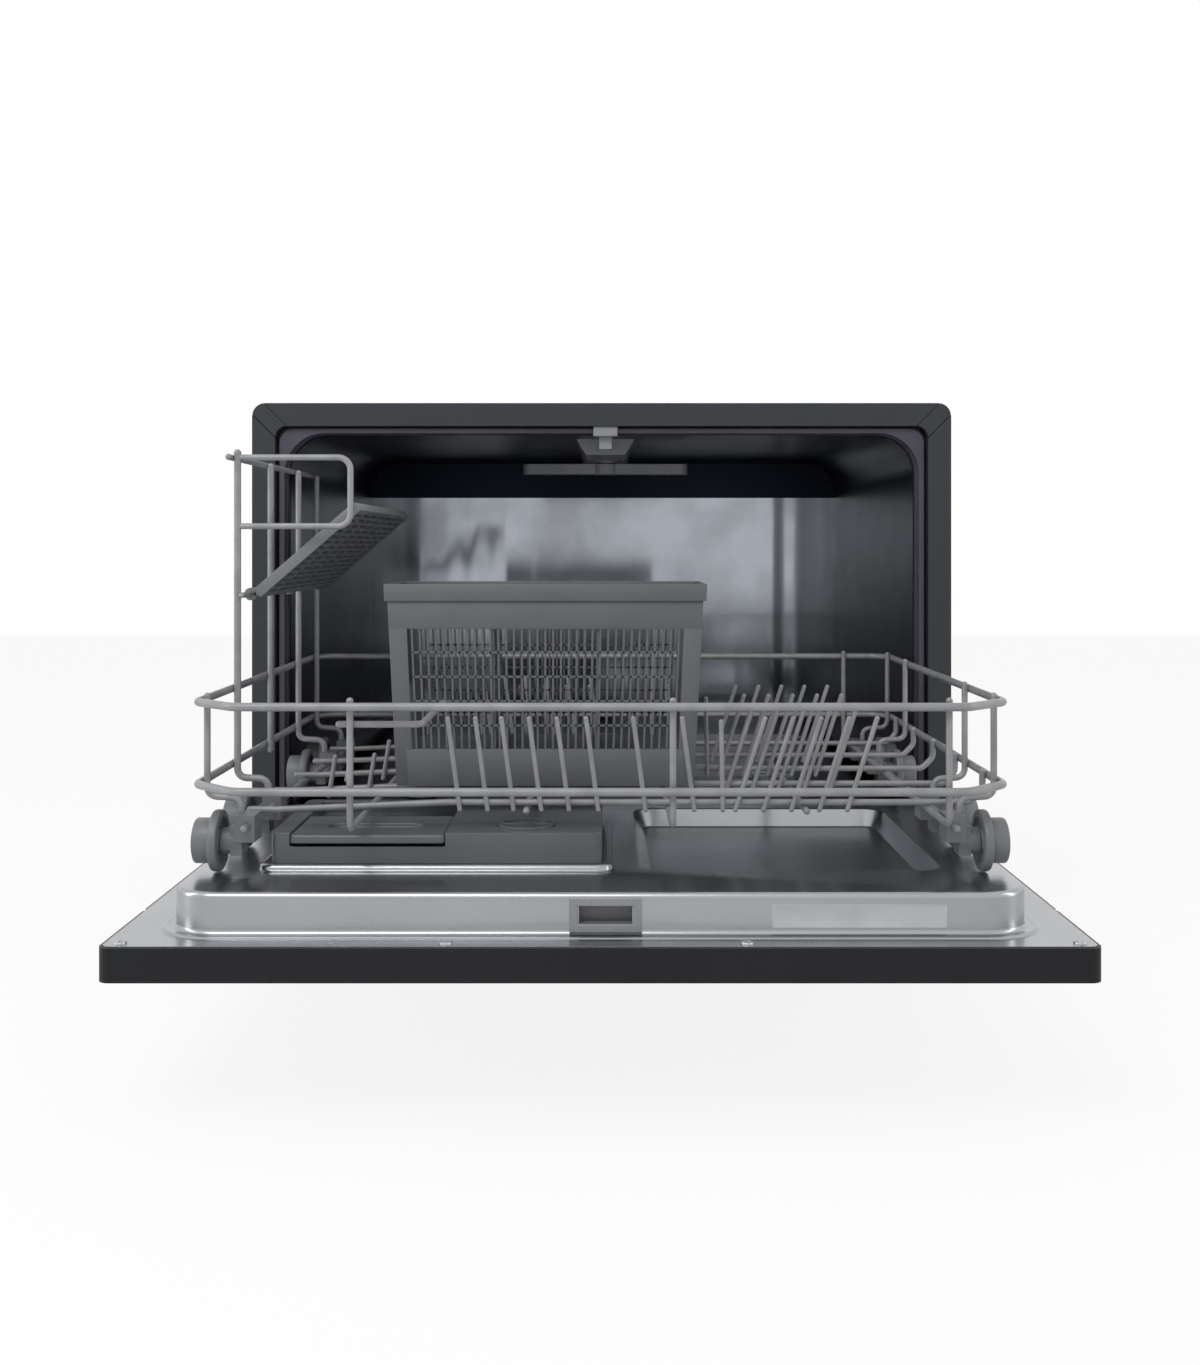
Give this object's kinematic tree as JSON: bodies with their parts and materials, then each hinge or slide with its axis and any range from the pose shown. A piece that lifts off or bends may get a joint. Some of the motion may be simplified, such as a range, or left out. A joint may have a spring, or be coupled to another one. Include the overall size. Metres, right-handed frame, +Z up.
{
  "type": "countertop dishwasher",
  "caption": "Compact countertop dishwasher with its door dropped open and its wheeled wire rack rolled out on the door, with cutlery basket and folding cup shelf.",
  "frame": {"origin": "on the worktop, at the middle of the part's overall box with the door open", "axes": "+X to the right seen from the front, +Y from the open door towards the back panel, +Z up"},
  "size_m": [0.55, 0.845, 0.438],
  "materials": {
    "casing_paint": "satin dark grey paint",
    "frame_paint": "satin charcoal paint",
    "black_plastic": "fine matt black moulding",
    "rubber": "soft matt rubber",
    "stainless": "brushed and part polished stainless steel",
    "zinc_steel": "zinc plated steel",
    "coated_wire": "grey nylon coating over steel wire",
    "basket_plastic": "matt dark grey moulding",
    "grey_plastic": "matt grey moulding",
    "pale_plastic": "plain off-white moulding",
    "blue_plastic": "matt blue moulding",
    "motor_steel": "dark painted motor housing",
    "dark_window": "smoked glossy window",
    "button_plastic": "matt silver grey moulding",
    "circuit_board": "green lacquered board"
  },
  "bodies": {
    "cabinet": {"base_tray": "black_plastic", "feet": "rubber", "tub": "stainless", "tub_gasket": "rubber", "side_panel_left": "casing_paint", "side_panel_right": "casing_paint", "top_panel": "casing_paint", "back_panel": "casing_paint", "front_frame": "frame_paint", "frame_corners": "frame_paint", "kick_plate": "black_plastic", "sump": "grey_plastic", "filter_plate": "stainless", "softener_tank": "pale_plastic", "circulation_pump": "motor_steel", "drain_pump": "motor_steel", "heater": "zinc_steel", "water_pipes": "black_plastic", "inlet_valve": "pale_plastic", "drain_spigot": "black_plastic", "cord_gland": "black_plastic", "air_break": "pale_plastic", "spray_duct": "grey_plastic", "latch_hook": "grey_plastic", "hinge_brackets": "zinc_steel", "door_springs": "zinc_steel"},
    "door": {"door_outer_panel": "casing_paint", "control_panel": "black_plastic", "display_window": "dark_window", "door_inner_panel": "stainless", "latch_window": "grey_plastic", "door_screws": "stainless", "hinge_arms": "zinc_steel", "control_board": "circuit_board", "dispenser_body": "grey_plastic"},
    "rack": {"rack_rails": "coated_wire", "rack_wires": "coated_wire", "rack_tines": "coated_wire", "wheel_brackets": "grey_plastic"},
    "power_button": {"power_button": "button_plastic"},
    "program_button": {"program_button": "button_plastic"},
    "delay_button": {"delay_button": "button_plastic"},
    "start_button": {"start_button": "button_plastic"},
    "detergent_lid": {"detergent_lid": "grey_plastic"},
    "rinse_aid_cap": {"rinse_aid_cap": "grey_plastic"},
    "filter_cup": {"filter_cup": "grey_plastic"},
    "softener_cap": {"softener_cap": "blue_plastic"},
    "float_cap": {"float_cap": "grey_plastic"},
    "upper_spray_arm": {"upper_spray_arm": "grey_plastic"},
    "lower_spray_arm": {"lower_spray_arm": "grey_plastic"},
    "cup_shelf": {"cup_shelf": "basket_plastic"},
    "cutlery_basket": {"cutlery_basket": "basket_plastic"},
    "wheel_1": {"wheel_1": "grey_plastic"},
    "wheel_2": {"wheel_2": "grey_plastic"},
    "wheel_3": {"wheel_3": "grey_plastic"},
    "wheel_4": {"wheel_4": "grey_plastic"},
    "wheel_5": {"wheel_5": "grey_plastic"},
    "wheel_6": {"wheel_6": "grey_plastic"},
    "wheel_7": {"wheel_7": "grey_plastic"},
    "wheel_8": {"wheel_8": "grey_plastic"}
  },
  "joints": [
    {"name": "door_hinge", "type": "hinge", "parent": "cabinet", "child": "door", "pos_m": [0, -0.0855, 0.097], "axis": [-1, 0, 0], "range_deg": [-1.5, 0], "stiffness_Nm_per_rad": 300, "springref_deg": 2.86},
    {"name": "rack_slide", "type": "slide", "parent": "cabinet", "child": "rack", "axis": [0, -1, 0], "range_m": [-0.333, 0]},
    {"name": "cup_shelf_fold", "type": "hinge", "parent": "rack", "child": "cup_shelf", "pos_m": [-0.231, -0.1475, 0.294], "axis": [0, -1, 0], "range_deg": [0, 44]},
    {"name": "basket_lift", "type": "slide", "parent": "rack", "child": "cutlery_basket", "axis": [0, 0, 1], "range_m": [0, 0.15]},
    {"name": "upper_arm_spin", "type": "hinge", "parent": "cabinet", "child": "upper_spray_arm", "pos_m": [0.003, 0.0765, 0.393], "axis": [0, 0, 1], "continuous": true},
    {"name": "lower_arm_spin", "type": "hinge", "parent": "cabinet", "child": "lower_spray_arm", "pos_m": [0, 0.1415, 0.141], "axis": [0, 0, 1], "continuous": true},
    {"name": "filter_cup_lift", "type": "slide", "parent": "cabinet", "child": "filter_cup", "axis": [0, 0, 1], "range_m": [0, 0.11]},
    {"name": "softener_cap_turn", "type": "hinge", "parent": "cabinet", "child": "softener_cap", "pos_m": [-0.11, 0.0765, 0.122], "axis": [0, 0, 1], "range_deg": [0, 270]},
    {"name": "float_rise", "type": "slide", "parent": "cabinet", "child": "float_cap", "axis": [0, 0, 1], "range_m": [0, 0.008]},
    {"name": "detergent_lid_slide", "type": "slide", "parent": "door", "child": "detergent_lid", "axis": [0, 1, 0], "range_m": [0, 0.045]},
    {"name": "rinse_cap_turn", "type": "hinge", "parent": "door", "child": "rinse_aid_cap", "pos_m": [-0.046, -0.3155, 0.153], "axis": [0, 0, 1], "range_deg": [0, 90]},
    {"name": "power_press", "type": "slide", "parent": "door", "child": "power_button", "axis": [0, 0, 1], "range_m": [0, 0.0012], "stiffness_N_per_m": 400, "springref_m": -0.0005},
    {"name": "program_press", "type": "slide", "parent": "door", "child": "program_button", "axis": [0, 0, 1], "range_m": [0, 0.0012], "stiffness_N_per_m": 400, "springref_m": -0.0005},
    {"name": "delay_press", "type": "slide", "parent": "door", "child": "delay_button", "axis": [0, 0, 1], "range_m": [0, 0.0012], "stiffness_N_per_m": 400, "springref_m": -0.0005},
    {"name": "start_press", "type": "slide", "parent": "door", "child": "start_button", "axis": [0, 0, 1], "range_m": [0, 0.0012], "stiffness_N_per_m": 400, "springref_m": -0.0005},
    {"name": "wheel_1_spin", "type": "hinge", "parent": "rack", "child": "wheel_1", "pos_m": [-0.234, -0.3445, 0.1496], "axis": [1, 0, 0], "continuous": true},
    {"name": "wheel_2_spin", "type": "hinge", "parent": "rack", "child": "wheel_2", "pos_m": [-0.234, -0.2745, 0.1496], "axis": [1, 0, 0], "continuous": true},
    {"name": "wheel_3_spin", "type": "hinge", "parent": "rack", "child": "wheel_3", "pos_m": [-0.234, -0.0885, 0.1496], "axis": [1, 0, 0], "continuous": true},
    {"name": "wheel_4_spin", "type": "hinge", "parent": "rack", "child": "wheel_4", "pos_m": [-0.234, -0.0185, 0.1496], "axis": [1, 0, 0], "continuous": true},
    {"name": "wheel_5_spin", "type": "hinge", "parent": "rack", "child": "wheel_5", "pos_m": [0.234, -0.3445, 0.1496], "axis": [1, 0, 0], "continuous": true},
    {"name": "wheel_6_spin", "type": "hinge", "parent": "rack", "child": "wheel_6", "pos_m": [0.234, -0.2745, 0.1496], "axis": [1, 0, 0], "continuous": true},
    {"name": "wheel_7_spin", "type": "hinge", "parent": "rack", "child": "wheel_7", "pos_m": [0.234, -0.0885, 0.1496], "axis": [1, 0, 0], "continuous": true},
    {"name": "wheel_8_spin", "type": "hinge", "parent": "rack", "child": "wheel_8", "pos_m": [0.234, -0.0185, 0.1496], "axis": [1, 0, 0], "continuous": true}
  ]
}
